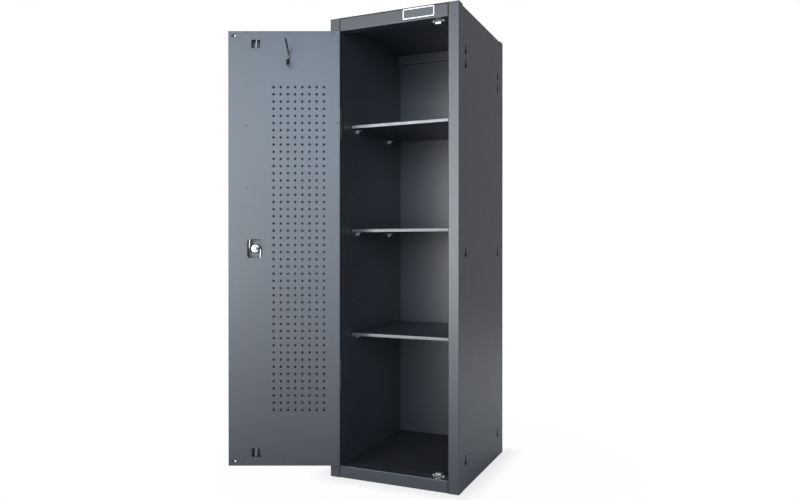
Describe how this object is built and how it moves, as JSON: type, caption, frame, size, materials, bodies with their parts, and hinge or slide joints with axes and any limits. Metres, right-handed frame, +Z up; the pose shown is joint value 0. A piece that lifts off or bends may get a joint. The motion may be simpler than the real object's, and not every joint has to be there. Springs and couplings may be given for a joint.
{
  "type": "locker cabinet",
  "caption": "Tall narrow sheet steel locker with shelves inside and a perforated inner door panel, hinged at the viewer's left and held shut by a turn lock with rods.",
  "frame": {"origin": "middle of the carcass's base, on the floor", "axes": "+Z up, +X to the viewer's right, -Y out of the front"},
  "size_m": [0.6242, 0.5678, 1.28],
  "materials": {
    "powder_coat": "satin charcoal powder coat",
    "zinc_plate": "bright zinc plate",
    "pressed_steel": "plated pressing",
    "chrome_lock": "satin chrome",
    "black_lacquer": "gloss black lacquer",
    "buffer_rubber": "matt",
    "nylon": "natural nylon"
  },
  "bodies": {
    "carcass": {"back_panel": "powder_coat", "bottom_front_rail": "powder_coat", "floor_panel": "powder_coat", "front_left_post": "powder_coat", "front_right_post": "powder_coat", "left_inner_panel": "powder_coat", "left_side_panel": "powder_coat", "lower_catch_case": "pressed_steel", "lower_catch_poles": "zinc_plate", "lower_hinge_frame_leaf": "powder_coat", "lower_hinge_pin": "zinc_plate", "lower_shelf": "powder_coat", "lower_shelf_clips": "zinc_plate", "middle_shelf": "powder_coat", "middle_shelf_clips": "zinc_plate", "rear_left_post": "powder_coat", "rear_right_post": "powder_coat", "right_inner_panel": "powder_coat", "right_side_panel": "powder_coat", "top_front_rail": "powder_coat", "top_panel": "powder_coat", "top_rear_rail": "powder_coat", "upper_catch_case": "pressed_steel", "upper_catch_poles": "zinc_plate", "upper_hinge_frame_leaf": "powder_coat", "upper_hinge_pin": "zinc_plate", "upper_shelf": "powder_coat", "upper_shelf_clips": "zinc_plate"},
    "door": {"coat_hook": "black_lacquer", "coat_hook_plate": "black_lacquer", "door_buffers": "buffer_rubber", "door_inner_panel": "powder_coat", "door_outer_skin": "powder_coat", "door_stiffener": "powder_coat", "lock_body": "chrome_lock", "lock_nut": "zinc_plate", "lower_hinge_door_leaf": "powder_coat", "lower_rod_guide": "nylon", "upper_hinge_door_leaf": "powder_coat", "upper_rod_guide": "nylon"},
    "lock_cam": {"cam_nut": "zinc_plate", "lock_cam_plate": "zinc_plate", "turn_handle": "chrome_lock"},
    "upper_rod": {"upper_lock_rod": "zinc_plate"},
    "lower_rod": {"lower_lock_rod": "zinc_plate"}
  },
  "joints": [
    {"name": "door_swing", "type": "hinge", "parent": "carcass", "child": "door", "pos_m": [-0.1547, -0.213, 0.6385], "axis": [0, 0, 1], "range_deg": [-20, 156.1]},
    {"name": "lock_turn", "type": "hinge", "parent": "door", "child": "lock_cam", "pos_m": [-0.36447, -0.32017, 0.6385], "axis": [-0.4051, 0.9143, 0], "range_deg": [0, 90]},
    {"name": "upper_rod_pivot", "type": "hinge", "parent": "lock_cam", "child": "upper_rod", "pos_m": [-0.37835, -0.32709, 0.6385], "axis": [-0.4051, 0.9143, 0], "range_deg": [-92, 0]},
    {"name": "lower_rod_pivot", "type": "hinge", "parent": "lock_cam", "child": "lower_rod", "pos_m": [-0.35001, -0.31453, 0.6385], "axis": [-0.4051, 0.9143, 0], "range_deg": [-92, 0]}
  ],
  "couplings": [
    {"joint": "upper_rod_pivot", "follows": "lock_turn", "ratio": -1.0166},
    {"joint": "lower_rod_pivot", "follows": "lock_turn", "ratio": -1.0166}
  ]
}
